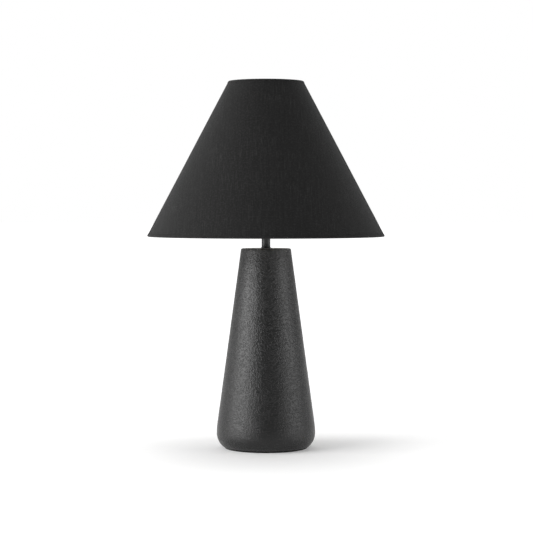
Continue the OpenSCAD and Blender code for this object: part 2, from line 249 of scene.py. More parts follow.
def pebbled_glaze():
    glaze, tree, skin = shader("pebbled_glaze", Specular_IOR_Level=0.5)
    place = node(tree, "ShaderNodeTexCoord").outputs["Object"]
    wander = node(tree, "ShaderNodeTexNoise", {"Vector": place, "Scale": 260.0, "Detail": 2.0}).outputs["Color"]
    bent = vector("ADD", place, vector("MULTIPLY", wander, (0.8 * MM,) * 3))
    cells = node(tree, "ShaderNodeTexVoronoi", {"Vector": bent, "Scale": PEBBLES_A_METRE, "Smoothness": 0.35},
                 feature="SMOOTH_F1").outputs["Distance"]
    pebble = spread(cells, 0.05, 0.65, 1.0, 0.0)
    pits = node(tree, "ShaderNodeTexVoronoi", {"Vector": bent, "Scale": PITS_A_METRE}).outputs["Distance"]
    grit = cloud(place, 0.0007, 4, 0.6)
    height = times(plus(pebble, times(grit, 0.25)), spread(pits, 0.10, 0.30))
    # Painted highlight and painted shade: the colour follows the height, lighter on the pebbles and darker in the pits,
    # over a tone that drifts at random
    tone = plus(times(height, 0.6), times(cloud(place, 0.045), 0.5))
    clad(skin, mixed(spread(tone, 0.25, 1.0), grey(0.002), grey(0.008)), spread(height, 0.1, 1.1, 0.40, 0.28),
         height, 0.34 * MM)
    return glaze


glaze = pebbled_glaze()
print("glaze:", len(glaze.node_tree.nodes), "nodes")

# %% [markdown]
# ## The linen
#
# Linen thread is spun from flax, which is uneven, so here and there a thread swells into a slub that catches
# the light as a fine streak. The warp runs up the shade and the weft round it. The pattern follows the cloth's
# own flat cut, kept in its UV map in metres, so that threads stay straight in the cloth and lean round the
# cone as real ones do. Each thread is a rounded ridge, and a plain weave lets warp and weft take turns on top.
# The colour is painted lighter on each thread's crest and darker between threads, a painted highlight and
# painted shade in the weave.

# %% Weave the linen
THREAD = 0.55 * MM
WARP_SLUB, WEFT_SLUB, WARP_BAND = (0.0014, 0.018), (0.018, 0.0013), (0.0026, 0.045)


def woven_linen(name, flat_map, brightness):
    linen, tree, skin = shader(name, Sheen_Weight=0.055, Sheen_Roughness=0.4, Specular_IOR_Level=0.25)
    if flat_map:
        place = node(tree, "ShaderNodeUVMap", uv_map=flat_map).outputs[0]
    else:
        place = node(tree, "ShaderNodeTexCoord").outputs["Object"]
    flat = node(tree, "ShaderNodeSeparateXYZ", {0: place})
    across, along = flat.outputs[0], flat.outputs[1 if flat_map else 2]
    shake = times(minus(cloud(place, 0.006), 0.5), 0.9 * MM)
    warp_wave, weft_wave = (calc("SINE", times(plus(way, shake), math.pi / THREAD)) for way in (across, along))
    on_top = spread(times(warp_wave, weft_wave), -0.35, 0.35)
    weave = plus(times(calc("ABSOLUTE", warp_wave), on_top), times(calc("ABSOLUTE", weft_wave), minus(1.0, on_top)))

    def slubs(size, low, high):
        """Streaks of thick thread, of that width and height in metres."""
        thin = node(tree, "ShaderNodeCombineXYZ", {0: calc("DIVIDE", across, size[0]),
                                                  1: calc("DIVIDE", along, size[1])}).outputs[0]
        return spread(cloud(thin, 1.0, 2.0, 0.4), low, high)

    patches = spread(cloud(place, 0.07, 1.0), 0.38, 0.62, 0.25, 1.0)
    streak = times(plus(slubs(WARP_SLUB, 0.50, 0.72), times(slubs(WEFT_SLUB, 0.58, 0.76), 0.45)), patches)
    bands = minus(slubs(WARP_BAND, 0.30, 0.70), 0.5)
    fleck = spread(cloud(place, 0.0026, 2.0), 0.46, 0.66)
    tone = plus(times(streak, 0.50), times(bands, 0.16))
    # Painted highlight and painted shade: the weave's ridges make the colour lighter on each thread's crest and darker
    # between threads
    tone = plus(plus(tone, times(fleck, 0.34)), times(weave, 0.22))
    cloth = mixed(spread(tone, -0.15, 1.0), grey(brightness * 0.62), grey(brightness * 2.6))
    height = plus(times(weave, 0.6), times(streak, 0.5))
    clad(skin, cloth, spread(weave, 0.0, 1.0, 0.92, 0.80), height, 0.16 * MM, 0.7)
    return linen


linen = woven_linen("linen", "flat_cut", 0.0080)
# The hems get a copy of the same linen painted a little darker, which is painted shade on the rolled edges
hem_linen = woven_linen("hem_linen", "", 0.0075)
print("linen:", len(linen.node_tree.nodes), "nodes, thread pitch", THREAD)

# %% [markdown]
# ## The other finishes
#
# The neck and the finial have satin black paint, sprayed, so it has a very fine orange peel. The harp, the
# socket and its cap are lacquered brass; the spider and the rings are zinc-plated wire. The lining is white
# styrene sheet, smooth on the light's side. The felt under the base has sheen, as all napped cloth has.

# %% Mix the other finishes
paint = finish("black_paint", grey(0.003), grey(0.007), (0.34, 0.46), 0.0006, 0.00003, Specular_IOR_Level=0.4)
felt = finish("felt", grey(0.006), grey(0.014), (0.9, 1.0), 0.0009, 0.00035, 0.012, strength=0.9,
              Sheen_Weight=0.12, Sheen_Roughness=0.6, Specular_IOR_Level=0.10)
rubber = finish("rubber", grey(0.010), grey(0.020), (0.55, 0.72), 0.0008, 0.00004, 0.01)
brass = finish("lacquered_brass", (0.42, 0.27, 0.10, 1), (0.62, 0.43, 0.17, 1), (0.24, 0.38), 0.0005, 0.00002,
               Metallic=1.0, Coat_Weight=0.3, Coat_Roughness=0.15)
turned_brass = finish("turned_brass", (0.45, 0.29, 0.11, 1), (0.64, 0.45, 0.18, 1), (0.20, 0.34), 0.0005,
                      0.00002, brushed=(0.02, 0.00025), Metallic=1.0, Anisotropic=0.3)
steel = finish("zinc_plate", grey(0.42), grey(0.58, -0.01), (0.28, 0.46), 0.0007, 0.00002, 0.012, Metallic=1.0)
turned_steel = finish("turned_steel", grey(0.38), grey(0.56, -0.01), (0.26, 0.42), 0.0006, 0.00002,
                      brushed=(0.015, 0.0003), Metallic=1.0, Anisotropic=0.3)
nickel = finish("nickel_plate", grey(0.48, 0.02), grey(0.62, 0.02), (0.16, 0.30), 0.0008, 0.00001, Metallic=1.0)
card = finish("card", (0.42, 0.32, 0.18, 1), (0.58, 0.46, 0.28, 1), (0.8, 0.95), 0.0005, 0.00008, 0.006)
phenolic = finish("phenolic", (0.020, 0.012, 0.008, 1), (0.034, 0.022, 0.015, 1), (0.30, 0.44), 0.0006, 0.00003)
knob_black = finish("knob_black", grey(0.008), grey(0.013), (0.18, 0.30), 0.0007, 0.00002, Coat_Weight=0.3,
                    Coat_Roughness=0.1)
vitrite = finish("vitrite", grey(0.006), grey(0.016), (0.10, 0.20), 0.0010, 0.00004, 0.006)
solder = finish("solder", grey(0.45), grey(0.62), (0.22, 0.40), 0.0008, 0.00008, 0.003, Metallic=0.9)
bulb_white = finish("bulb_white", grey(0.72, 0.01), grey(0.80, 0.01), (0.26, 0.36), 0.0008, 0.00001,
                    Subsurface_Weight=0.1, Subsurface_Scale=0.002)
frosted = finish("frosted", grey(0.80, 0.015), grey(0.88, 0.012), (0.44, 0.56), 0.0004, 0.00002,
                 Subsurface_Weight=0.3, Subsurface_Scale=0.004)
styrene = finish("styrene", grey(0.70, 0.02), grey(0.80, 0.02), (0.42, 0.58), 0.0011, 0.00003, 0.05)
print("finishes:", len(bpy.data.materials))

# %% [markdown]
# ## Turning a piece
#
# Most of a lamp is round, made on a potter's wheel or a lathe. `turned` does the same: it takes half of the
# piece's cut section, as corners in millimetres from the axis and above the table, and sweeps it round the
# axis. Nothing real has a perfectly sharp edge, so `soften` rounds the corners first, and that small radius is
# what makes an edge catch the light. Where the section touches the axis, the ring shrinks to a single point.

# %% Helpers that turn a section
def soften(corners, rounding=0.3, steps=3):
    """Rounds the corners of a closed section in millimetres. A corner may name its own rounding, third."""
    rounded = []
    for index, corner in enumerate(corners):
        here = Vector(corner[:2])
        before, after = Vector(corners[index - 1][:2]), Vector(corners[(index + 1) % len(corners)][:2])
        reach = corner[2] if len(corner) > 2 else rounding
        reach = min(reach, (before - here).length * 0.45, (after - here).length * 0.45)
        if reach < 0.001 or here.x < 1e-6:
            rounded.append(here)
            continue
        start = here + (before - here).normalized() * reach
        end = here + (after - here).normalized() * reach
        for step in range(steps + 1):
            t = step / steps
            rounded.append(start * (1 - t) ** 2 + here * 2 * t * (1 - t) + end * t * t)
    return rounded


CREASE, JOINED_CREASE, FINE_CREASE, HEM_CREASE = 38, 40, 50, 60


def sharpen(piece, crease=CREASE):
    """Shades the piece smooth, apart from edges sharper than the crease, in degrees."""
    piece.data.shade_smooth()
    piece.data.set_sharp_from_angle(angle=math.radians(crease))
    return piece


def split(section, step, closed=True):
    """Splits the long edges of a section, so that none is longer than step, in millimetres."""
    fine = []
    for index, here in enumerate(section):
        after = section[(index + 1) % len(section)] if closed or index + 1 < len(section) else here
        on_axis = here.x < 1e-6 and after.x < 1e-6
        parts = 1 if on_axis else max(1, math.ceil((after - here).length / step))
        fine += [here.lerp(after, part / parts) for part in range(parts)]
    return fine


def bend(centre, radius, start, end, steps):
    """Points of an arc in millimetres, from one angle to another in degrees."""
    angles = [math.radians(start + (end - start) * step / steps) for step in range(steps + 1)]
    return [Vector((centre[0] + radius * math.cos(a), centre[1] + radius * math.sin(a))) for a in angles]


def settle(piece, crease=CREASE):
    """Welds the piece's points, turns its faces outwards and shades it."""
    mesh = bmesh.new()
    mesh.from_mesh(piece.data)
    bmesh.ops.remove_doubles(mesh, verts=mesh.verts, dist=1e-7)
    bmesh.ops.recalc_face_normals(mesh, faces=mesh.faces)
    mesh.to_mesh(piece.data)
    mesh.free()
    return sharpen(piece, crease)


def made(name, points, faces=(), edges=()):
    """A new piece from points in metres, and faces or edges."""
    mesh = bpy.data.meshes.new(name)
    mesh.from_pydata(points, edges, faces)
    piece = bpy.data.objects.new(name, mesh)
    scene.collection.objects.link(piece)
    return piece


def turned(name, section, turns=96, reach=None, crease=CREASE):
    """Sweeps a closed section in millimetres round the Z axis. Reach(radius, angle) may make it not round."""
    points, rings, faces = [], [], []
    for corner in section:
        if corner.x < 1e-6:
            rings.append([len(points)] * (turns + 1))
            points.append((0, 0, corner.y * MM))
            continue
        first = len(points)
        for step in range(turns):
            angle = TURN * step / turns
            radius = (reach(corner.x, angle) if reach else corner.x) * MM
            points.append((-radius * math.sin(angle), radius * math.cos(angle), corner.y * MM))
        rings.append([first + step for step in range(turns)] + [first])
    for row, here in enumerate(rings):
        above = rings[(row + 1) % len(rings)]
        for step in range(turns):
            corners = [here[step], here[step + 1], above[step + 1], above[step]]
            face = list(dict.fromkeys(corners))
            if len(face) > 2:
                faces.append(face)
    return settle(made(name, points, faces), crease)


def fit(piece, solid, material, *more_solids):
    """The piece takes a solid's place: its body and its finish."""
    piece.data.materials.clear()
    piece.data.materials.append(material)
    piece.name = solid + "_detailed"
    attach(piece, solids[solid]["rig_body"])
    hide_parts(solid, *more_solids)
    low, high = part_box(solid)
    corners = [Vector(c) for c in piece.bound_box]
    gap = max(max(max(c[i] for c in corners) - high[i], low[i] - min(c[i] for c in corners)) for i in range(3))
    print(piece.name, len(piece.data.polygons), "faces, stands", round(gap / MM, 2), "mm past its solid's box")
    return piece


print("turning helpers ready")

# %% [markdown]
# ## Growing a piece with Geometry Nodes
#
# A rule, such as "push every pebble out along the surface" or "wind a thread round this stud", is easier to
# see and to change as a small node graph with named inputs than as a loop. `rule` opens such a tree,
# `close_rule` ends it with Realize Instances and Set Material, and `grown` runs it on a piece and keeps the
# result as a plain mesh.

# %% Helpers that run a rule
def rule(name, **inputs):
    """A new Geometry Nodes tree and the sockets of its named inputs."""
    tree = bpy.data.node_groups.new(name, "GeometryNodeTree")
    tree.interface.new_socket("Piece", in_out="INPUT", socket_type="NodeSocketGeometry")
    for label, value in inputs.items():
        kind = {int: "Int", float: "Float"}.get(type(value), "Material")
        socket = tree.interface.new_socket(label.replace("_", " "), in_out="INPUT", socket_type="NodeSocket" + kind)
        if value is not None:
            socket.default_value = value
    tree.interface.new_socket("Piece", in_out="OUTPUT", socket_type="NodeSocketGeometry")
    return tree, node(tree, "NodeGroupInput").outputs


def pushed(piece, way, distance):
    """The piece with each point moved that far along a direction."""
    tree = piece.id_data
    offset = node(tree, "ShaderNodeVectorMath", {0: way, "Scale": distance}, operation="SCALE").outputs[0]
    return node(tree, "GeometryNodeSetPosition", {"Geometry": piece, "Offset": offset}).outputs[0]


def seeded_noise(place, seed, size):
    """Soft noise whose lumps are about that size, different for each seed."""
    feeds = {"Vector": place, "W": seed, "Scale": calc("DIVIDE", 1.0, size), "Detail": 1.0}
    return node(place.id_data, "ShaderNodeTexNoise", feeds, noise_dimensions="4D").outputs[0]


def close_rule(tree, piece, material):
    """Ends a tree: instances become real and the finish is set."""
    real = node(tree, "GeometryNodeRealizeInstances", {0: piece}).outputs[0]
    dressed = node(tree, "GeometryNodeSetMaterial", {"Geometry": real, "Material": material}).outputs[0]
    node(tree, "NodeGroupOutput", {0: dressed})
    return tree


def grown(piece, tree, **values):
    """Runs a tree on a piece and keeps the result as its plain mesh."""
    modifier = piece.modifiers.new(tree.name, "NODES")
    modifier.node_group = tree
    for socket in tree.interface.items_tree:
        if socket.in_out == "INPUT" and socket.name.replace(" ", "_") in values:
            modifier[socket.identifier] = values[socket.name.replace(" ", "_")]
    return baked(piece)


def baked(piece):
    """Keeps what the piece's modifiers make of it as its plain mesh, without them."""
    graph = bpy.context.evaluated_depsgraph_get()
    mesh = bpy.data.meshes.new_from_object(piece.evaluated_get(graph), preserve_all_data_layers=True, depsgraph=graph)
    piece.modifiers.clear()
    piece.data = mesh
    mesh.name = piece.name
    return piece


def placed(piece, matrix):
    """Moves a piece's mesh to its place, and leaves its object at the origin."""
    piece.data.transform(matrix)
    piece.data.update()
    return piece


print("rule helpers ready")

# %% [markdown]
# ### The pebble rule
#
# Real relief is what shows on the outline of the base. The rule moves each point along its normal by soft
# noise, and raises a pebble in the middle of each Voronoi cell. It acts only where the surface faces away from the
# axis, so the cavity and the recess underneath stay smooth, and it fades out at the foot, at the shoulder and
# round the cord's hole, where other pieces sit against the base.

# %% Build the pebble rule
def pebble_rule():
    tree, given = rule("pebbles", Lump_Size=0.0060, Lump_Height=0.00009, Pebble_Size=0.0034,
                       Pebble_Height=0.00016, Low_Edge=0.003, High_Edge=0.297, Hole_Height=0.028,
                       Hole_Radius=0.005, Seed=7, Glaze=None)
    place = node(tree, "GeometryNodeInputPosition").outputs[0]
    normal = node(tree, "GeometryNodeInputNormal").outputs[0]
    x, y, z = node(tree, "ShaderNodeSeparateXYZ", {0: place}).outputs
    outward = vector("NORMALIZE", vector("MULTIPLY", place, (1, 1, 0)))
    share = spread(vector("DOT_PRODUCT", normal, outward), 0.15, 0.5)
    low = spread(minus(z, given["Low Edge"]), 0.0, 0.004)
    high = spread(minus(given["High Edge"], z), 0.0, 0.003)
    rise = minus(z, given["Hole Height"])
    away = plus(calc("SQRT", plus(times(x, x), times(rise, rise))), spread(y, 0.0, 0.01, 0.1, 0.0))
    clear = spread(minus(away, given["Hole Radius"]), 0.004, 0.009)
    share = times(times(share, low), times(high, clear))
    lumps = times(minus(seeded_noise(place, given["Seed"], given["Lump Size"]), 0.5), times(given["Lump Height"], 2.0))
    cells = node(tree, "ShaderNodeTexVoronoi",
                 {"Vector": place, "W": given["Seed"], "Scale": calc("DIVIDE", 1.0, given["Pebble Size"]),
                  "Smoothness": 0.5}, feature="SMOOTH_F1", voronoi_dimensions="4D").outputs["Distance"]
    pebbles = times(spread(cells, 0.2, 0.8, 0.4, -0.6), given["Pebble Height"])
    moved = pushed(given[0], normal, times(plus(lumps, pebbles), share))
    return close_rule(tree, moved, given["Glaze"])


pebbles = pebble_rule()
print("pebble rule:", len(pebbles.nodes), "nodes")

# %% [markdown]
# ## The base
#
# The body is thrown hollow: a rounded foot, a belly 148 mm across just above it, and a long straight taper to
# the shoulder. Its section is two arcs and a line that touches the second arc, so the tilt of the wall comes
# from the place where it has to arrive at the top. It could be a subdivided cylinder, but a turned section
# keeps the small rows that the pebbles need only where they show.

# %% Turn the base
FOOT, BELLY = (48.15, 22.5), (-39.85, 22.5)
FOOT_R, BELLY_R, TOP_R, TOP_Z, WALL = 26, 114, 37.4, 300, 7
PIPE_HOLE_R, CAVITY_TOP, CORD_HOLE_R, CORD_Z = 5.6, 291, 5, 28
to_top = Vector((TOP_R - BELLY[0], TOP_Z - BELLY[1]))
wall_tilt = math.degrees(math.atan2(to_top.y, to_top.x) - math.acos(BELLY_R / to_top.length))
lean = math.tan(math.radians(wall_tilt))
neck_cut = 2.5 * math.tan(math.radians(45 - wall_tilt / 2))
outside = bend(FOOT, FOOT_R, -50.3, 0, 18) + bend(BELLY, BELLY_R, 0, wall_tilt, 12)[1:]
inside_top = TOP_R + (TOP_Z - CAVITY_TOP) * lean - WALL / math.cos(math.radians(wall_tilt))
shoulder = soften([outside[-1], (TOP_R, TOP_Z, neck_cut), (PIPE_HOLE_R, TOP_Z, 0.4), (PIPE_HOLE_R, CAVITY_TOP)],
                  0, 5)[1:-1]
section = split(outside + shoulder, 1.32, closed=False)
section += [Vector(p) for p in ((PIPE_HOLE_R, CAVITY_TOP), (inside_top, CAVITY_TOP), (66.0, 38), (66.6, 18),
                                (50, 18), (50, 12), (56.5, 12), (56.5, 2.5))]
base = turned("base_body", section, 352)
print("wall tilts", round(wall_tilt, 2), "degrees,", len(section), "rows")


def drilled(piece, radius, low, high, place, sides=48):
    """Bores a round hole through a piece."""
    drill = placed(turned("drill", [Vector((0, low)), Vector((radius, low)), Vector((radius, high)),
                                    Vector((0, high))], sides), place)
    bore = piece.modifiers.new("bore", "BOOLEAN")
    bore.object, bore.operation, bore.solver = drill, "DIFFERENCE", "EXACT"
    baked(piece)
    bpy.data.objects.remove(drill)
    return sharpen(piece)


to_back = Matrix.Translation((0, 0, CORD_Z * MM)) @ Matrix.Rotation(math.radians(-90), 4, "X")
drilled(base, CORD_HOLE_R, 40, 90, to_back)
grown(base, pebbles, Glaze=glaze)
fit(base, "base_body", glaze)

# %% [markdown]
# ### The felt pad and the parts under the base
#
# A ring of dense felt keeps the glaze off the table. Its edges are cut, so they are slightly rounded and
# uneven. The plate, washer and nut that clamp the base to the lamp pipe are plain turned steel, and their
# solids already have the right shape, so they only get their finish.

# %% Cut the felt pad
pad = turned("foot_pad", split(soften([(16, 0), (62.3, 0), (62.3, 2.5), (16, 2.5)], 0.6, 3), 2.4), 288)
for point in pad.data.vertices:
    ragged = noise.noise(point.co / (2.2 * MM)) * 0.09 * MM
    outward = Vector((point.co.x, point.co.y, 0)).normalized()
    if 0.2 * MM < point.co.z < 2.3 * MM:
        point.co += outward * ragged
fit(pad, "foot_pad", felt)


def dress(solid, material):
    """A solid whose shape is right keeps it and gets its finish."""
    solids[solid].data.materials.clear()
    solids[solid].data.materials.append(material)


for solid in ("bottom_plate", "bottom_washer", "bottom_nut", "threaded_rod", "socket_set_screw"):
    dress(solid, turned_steel)
print("felt pad and steel parts done")

# %% [markdown]
# ### The cord's bushing
#
# A moulded rubber bushing lines the hole at the back where a cord comes in: a domed flange outside, a sleeve
# through the wall and a barb that snaps in behind it. It is turned on the Z axis, where sections are easy to
# read, and then laid down so that it points out of the back of the base.

# %% Turn the bushing
bushing = turned("cord_bushing", soften([
    (3.0, 64.65, 0.2), (6.2, 64.65, 0.5), (6.2, 66.15, 0.5), (4.9, 66.15, 0.1), (4.9, 74.25, 0.1),
    (8.0, 74.25, 0.2), (8.0, 75.2, 0.7), (5.6, 76.35, 0.8), (3.0, 76.35, 0.9)], 0.2, 4), 64)
fit(placed(bushing, to_back), "cord_bushing", rubber)

# %% [markdown]
# ## The neck
#
# A short tube slips over the lamp pipe between the base and the socket. Below it a check ring, a thin turned
# collar, covers the hole in the base. Both are steel tube with satin black paint.

# %% Turn the neck and its collar
neck = turned("neck_tube", soften([(5.4, 301.5), (6.6, 301.5), (6.6, 330), (5.4, 330)], 0.25, 3), 96)
fit(neck, "neck_tube", paint)
collar = turned("check_ring", soften([(5.3, 300), (7.6, 300), (7.6, 301.5, 0.6), (5.3, 301.5)], 0.2, 4), 96)
fit(collar, "check_ring", paint)

# %% [markdown]
# ## Wires
#
# The harp, the two rings of the shade and the spider's arms are all bent wire. A wire is a path with a
# thickness, so the rule turns a path of edges into a curve and sweeps a circle along it. The path's corners
# are rounded first, as a wire's bends are.

# %% Build the wire rule
def wire_rule():
    tree, given = rule("wire", Radius=0.0018, Sides=16, Metal=None)
    path = node(tree, "GeometryNodeMeshToCurve", {"Mesh": given[0]}).outputs[0]
    circle = node(tree, "GeometryNodeCurvePrimitiveCircle",
                  {"Resolution": given["Sides"], "Radius": given["Radius"]}).outputs[0]
    swept = node(tree, "GeometryNodeCurveToMesh",
                 {"Curve": path, "Profile Curve": circle, "Fill Caps": True}).outputs[0]
    return close_rule(tree, swept, given["Metal"])


wires = wire_rule()


def wire(name, path, radius, metal, closed=False, sides=16):
    """A wire along a path of points in metres."""
    steps = [(i, i + 1) for i in range(len(path) - 1)] + ([(len(path) - 1, 0)] if closed else [])
    return settle(grown(made(name, path, edges=steps), wires, Radius=radius, Sides=sides, Metal=metal), FINE_CREASE)


def joined(name, *pieces):
    """Several shells as one piece."""
    whole = bmesh.new()
    for piece in pieces:
        whole.from_mesh(piece.data)
        bpy.data.objects.remove(piece)
    piece = made(name, ())
    whole.to_mesh(piece.data)
    whole.free()
    piece.data.set_sharp_from_angle(angle=math.radians(JOINED_CREASE))
    return piece


print("wire rule:", len(wires.nodes), "nodes")

# %% [markdown]
# ## The harp
#
# The harp carries the shade round the bulb. Each leg leaves its post, bends outwards, and comes over in one
# wide arc to a small flat plate, which is pierced for the stud. The wire's path is built for one side and
# mirrored. The plate is pressed from thicker strip, with rounded corners.

# %% Bend the harp
HARP_X, HARP_TOP, PLATE_ARC_X = 28.5, 520, 8
LEG_LEAN, LEG_BEND = 14, 30
leg = [Vector((HARP_X, 342.1)), Vector((HARP_X, 372))]
leg += [Vector((HARP_X + LEG_BEND, 372)) + Vector((-math.cos(math.radians(a)), math.sin(math.radians(a)))) * LEG_BEND
        for a in range(2, LEG_LEAN + 1, 2)]


def over_arc(start):
    """The centre height and radius of an arc round x = 8 that a lean leg runs into and that ends at the top."""
    lean_way = Vector((math.sin(math.radians(LEG_LEAN)), math.cos(math.radians(LEG_LEAN))))
    across = Vector((math.cos(math.radians(LEG_LEAN)), -math.sin(math.radians(LEG_LEAN))))
    low, high = 1.0, 200.0
    for _ in range(60):
        run = (low + high) / 2
        touch = start + lean_way * run
        radius = (touch.x - PLATE_ARC_X) / across.x
        centre_z = touch.y - across.y * radius
        low, high = (run, high) if centre_z + radius < HARP_TOP else (low, run)
    return touch, centre_z, radius


touch, arc_z, arc_r = over_arc(leg[-1])
leg += [leg[-1].lerp(touch, step / 8) for step in range(1, 8)]
leg += bend((PLATE_ARC_X, arc_z), arc_r, -LEG_LEAN, 90, 40)
half = [(p.x * MM, 0, p.y * MM) for p in leg]
harp_wire = wire("harp_wire", half + [(-x, 0, z) for x, _, z in reversed(half)], 1.8 * MM, brass, sides=20)


def rounded_plate(radius, angle):
    """A pressed plate of 20 x 10 mm: a round hole inside and a rounded rectangle outside."""
    edge = (abs(math.sin(angle) / 10) ** 8 + abs(math.cos(angle) / 5) ** 8) ** (-1 / 8)
    return radius if radius < 3.2 else 3.2 + (radius - 3.2) / (10 - 3.2) * (edge - 3.2)


plate = turned("harp_plate", soften([(2.6, 519), (10, 519), (10, 521), (2.6, 521)], 0.35, 3), 96, rounded_plate)
fit(joined("harp", harp_wire, plate), "harp", brass)
print("harp arc radius", round(arc_r, 1), "mm")

# %% [markdown]
# ### The ferrules and the saddle
#
# A brass ferrule slides down over each joint of the harp's leg and its post, and locks them together. Its
# mouth is belled so that it finds the post. The saddle, a folded brass strip under the socket, keeps its
# solid's shape.

# %% Turn the ferrules
for side, sign in (("left", -1), ("right", 1)):
    ferrule = turned("harp_ferrule_" + side, soften([
        (2.1, 338.7), (4.2, 338.7, 0.5), (4.15, 340.4, 0.8), (3.4, 343.2, 0.8), (3.4, 350.7, 0.5),
        (2.1, 350.7)], 0.25, 4), 48)
    fit(placed(ferrule, Matrix.Translation((sign * HARP_X * MM, 0, 0))), "harp_ferrule_" + side, brass)
dress("harp_saddle", brass)

# %% [markdown]
# ## Threads and flutes
#
# A screw thread, a bulb cap's rolled thread and the flutes of a knob are one idea: a wave that runs round the
# axis a whole number of times while it climbs. With no climb it makes flutes, and with one wave a turn it
# makes a thread. The rule moves each point in or out by that wave and fades it out at both ends.

# %% Build the rib rule
def rib_rule():
    tree, given = rule("ribs", Waves=1.0, Waves_Up=0.0, Depth=0.0003, From=0.0, To=1.0, Fade=0.001,
                       Core=0.001, Sharpness=1.0, Metal=None)
    place = node(tree, "GeometryNodeInputPosition").outputs[0]
    x, y, z = node(tree, "ShaderNodeSeparateXYZ", {0: place}).outputs
    flat = vector("MULTIPLY", place, (1, 1, 0))
    climb = times(times(z, given["Waves Up"]), -TURN)
    wave = calc("COSINE", plus(times(calc("ARCTAN2", y, x), given["Waves"]), climb))
    wave = calc("POWER", calc("MULTIPLY_ADD", wave, 0.5, 0.5), given["Sharpness"])
    low = spread(minus(z, given["From"]), 0.0, given["Fade"])
    high = spread(minus(given["To"], z), 0.0, given["Fade"])
    outer = calc("GREATER_THAN", vector("LENGTH", flat), given["Core"])
    push = times(times(times(wave, given["Depth"]), outer), times(low, high))
    return close_rule(tree, pushed(given[0], vector("NORMALIZE", flat), push), given["Metal"])


ribs = rib_rule()


def ribbed(piece, metal, waves, pitch, depth, low, high, fade, core, sharpness=1.0):
    """Winds waves round a piece; sizes in millimetres, and no pitch for straight flutes."""
    grown(piece, ribs, Waves=float(waves), Waves_Up=1000 / pitch if pitch else 0.0, Depth=depth * MM, From=low * MM,
          To=high * MM, Fade=fade * MM, Core=core * MM, Sharpness=sharpness, Metal=metal)
    return sharpen(piece, FINE_CREASE)


print("rib rule:", len(ribs.nodes), "nodes")

# %% [markdown]
# ### The stud on the harp
#
# The stud hangs in the plate by its head, turns there freely, and carries the shade's spider on its flange.
# Above the flange it has a 1/4 inch thread, 27 to the inch, for the finial.

# %% Turn the stud
stud = turned("harp_stud", split(soften([
    (0, 517), (4.2, 517, 0.5), (4.2, 518.9, 0.3), (2.55, 518.9), (2.55, 521.1), (6.5, 521.1), (6.5, 522.45),
    (2.75, 522.45, 0.1), (2.75, 535.4), (2.0, 536), (0, 536)], 0.25, 3), 0.16), 40)
fit(ribbed(stud, brass, 1, 0.94, 0.35, 523.2, 535.4, 0.6, 2.6), "harp_stud", brass)

# %% [markdown]
# ## The socket
#
# The socket is a two-part brass shell round a phenolic switch body: a cup-shaped cap that screws on the lamp
# pipe, and a shell with a rolled bead at its rim and a hole for the turn knob. A card liner insulates it, and
# inside stands the screw shell that takes the bulb, of brass sheet rolled to the bulb's thread.

# %% Press the socket
SOCKET_PITCH = 3.63
to_front = Matrix.Translation((0, 0, 0.361)) @ Matrix.Rotation(math.radians(90), 4, "X")
cap = turned("socket_cap", soften([
    (5.2, 331.7), (8.2, 331.7, 0.5), (8.2, 338.4, 0.6), (12.5, 340.6, 3), (16.6, 345.4, 3), (17.3, 350, 1.5),
    (17.3, 353.6), (16.7, 353.6), (16.7, 350.2, 1.5), (16.0, 345.8, 3), (12.1, 341.3, 3), (6.6, 339.2, 0.6),
    (5.2, 338.8)], 0.2, 4), 96)
fit(cap, "socket_cap", turned_brass)
shell = turned("socket_shell", soften([
    (15.9, 350.6), (16.5, 350.6), (16.5, 354.4, 0.4), (16.78, 355.2, 0.4), (16.5, 356.0, 0.4), (16.5, 388.8, 0.5),
    (17.25, 389.6, 0.6), (17.25, 390.6, 0.6), (16.4, 391.0, 0.5), (15.9, 390.2, 0.3)], 0.15, 4), 128)
drilled(shell, 2.4, 12, 20, to_front, 32)
fit(shell, "socket_shell", turned_brass)
screw_shell = turned("socket_screw_shell", split(soften([
    (13.2, 370), (13.7, 370), (13.7, 389.5), (13.2, 389.5)], 0.1, 2), 0.5), 80)
ribbed(screw_shell, brass, 1, SOCKET_PITCH, 0.55, 372, 388.8, 1.5, 5)
fit(screw_shell, "socket_screw_shell", brass)
for solid, material in (("socket_insulator", card), ("socket_switch_body", phenolic),
                        ("socket_contact", brass), ("terminal_screws", brass)):
    dress(solid, material)

# %% [markdown]
# ### The turn knob
#
# The knob is moulded with twelve flutes for the fingers and a domed end. Its shaft goes through the shell
# into the switch. It is turned upright, gets its flutes from the rib rule, and is then laid forwards.

# %% Mould the turn knob
knob = turned("switch_knob", split(soften([
    (0, 4), (1.7, 4), (1.7, 20, 0.2), (4.2, 20, 0.5), (4.5, 22.5, 0.8), (5.7, 31, 1.2), (5.0, 32.7, 1.0),
    (0, 33)], 0.25, 4), 0.7), 144)
ribbed(knob, knob_black, 12, 0, 0.42, 21.2, 32.2, 1.5, 3.6, 2.5)
fit(placed(knob, to_front), "switch_knob", knob_black)

# %% [markdown]
# ## The bulb
#
# A modern lamp has an LED bulb: a nickel-plated screw cap with a rolled thread, black glass and a solder tip
# below it, a white tapered housing, and a frosted dome. The dome is a thin shell set in a groove of the
# housing, and that fine dark joint is what tells the two plastics apart.

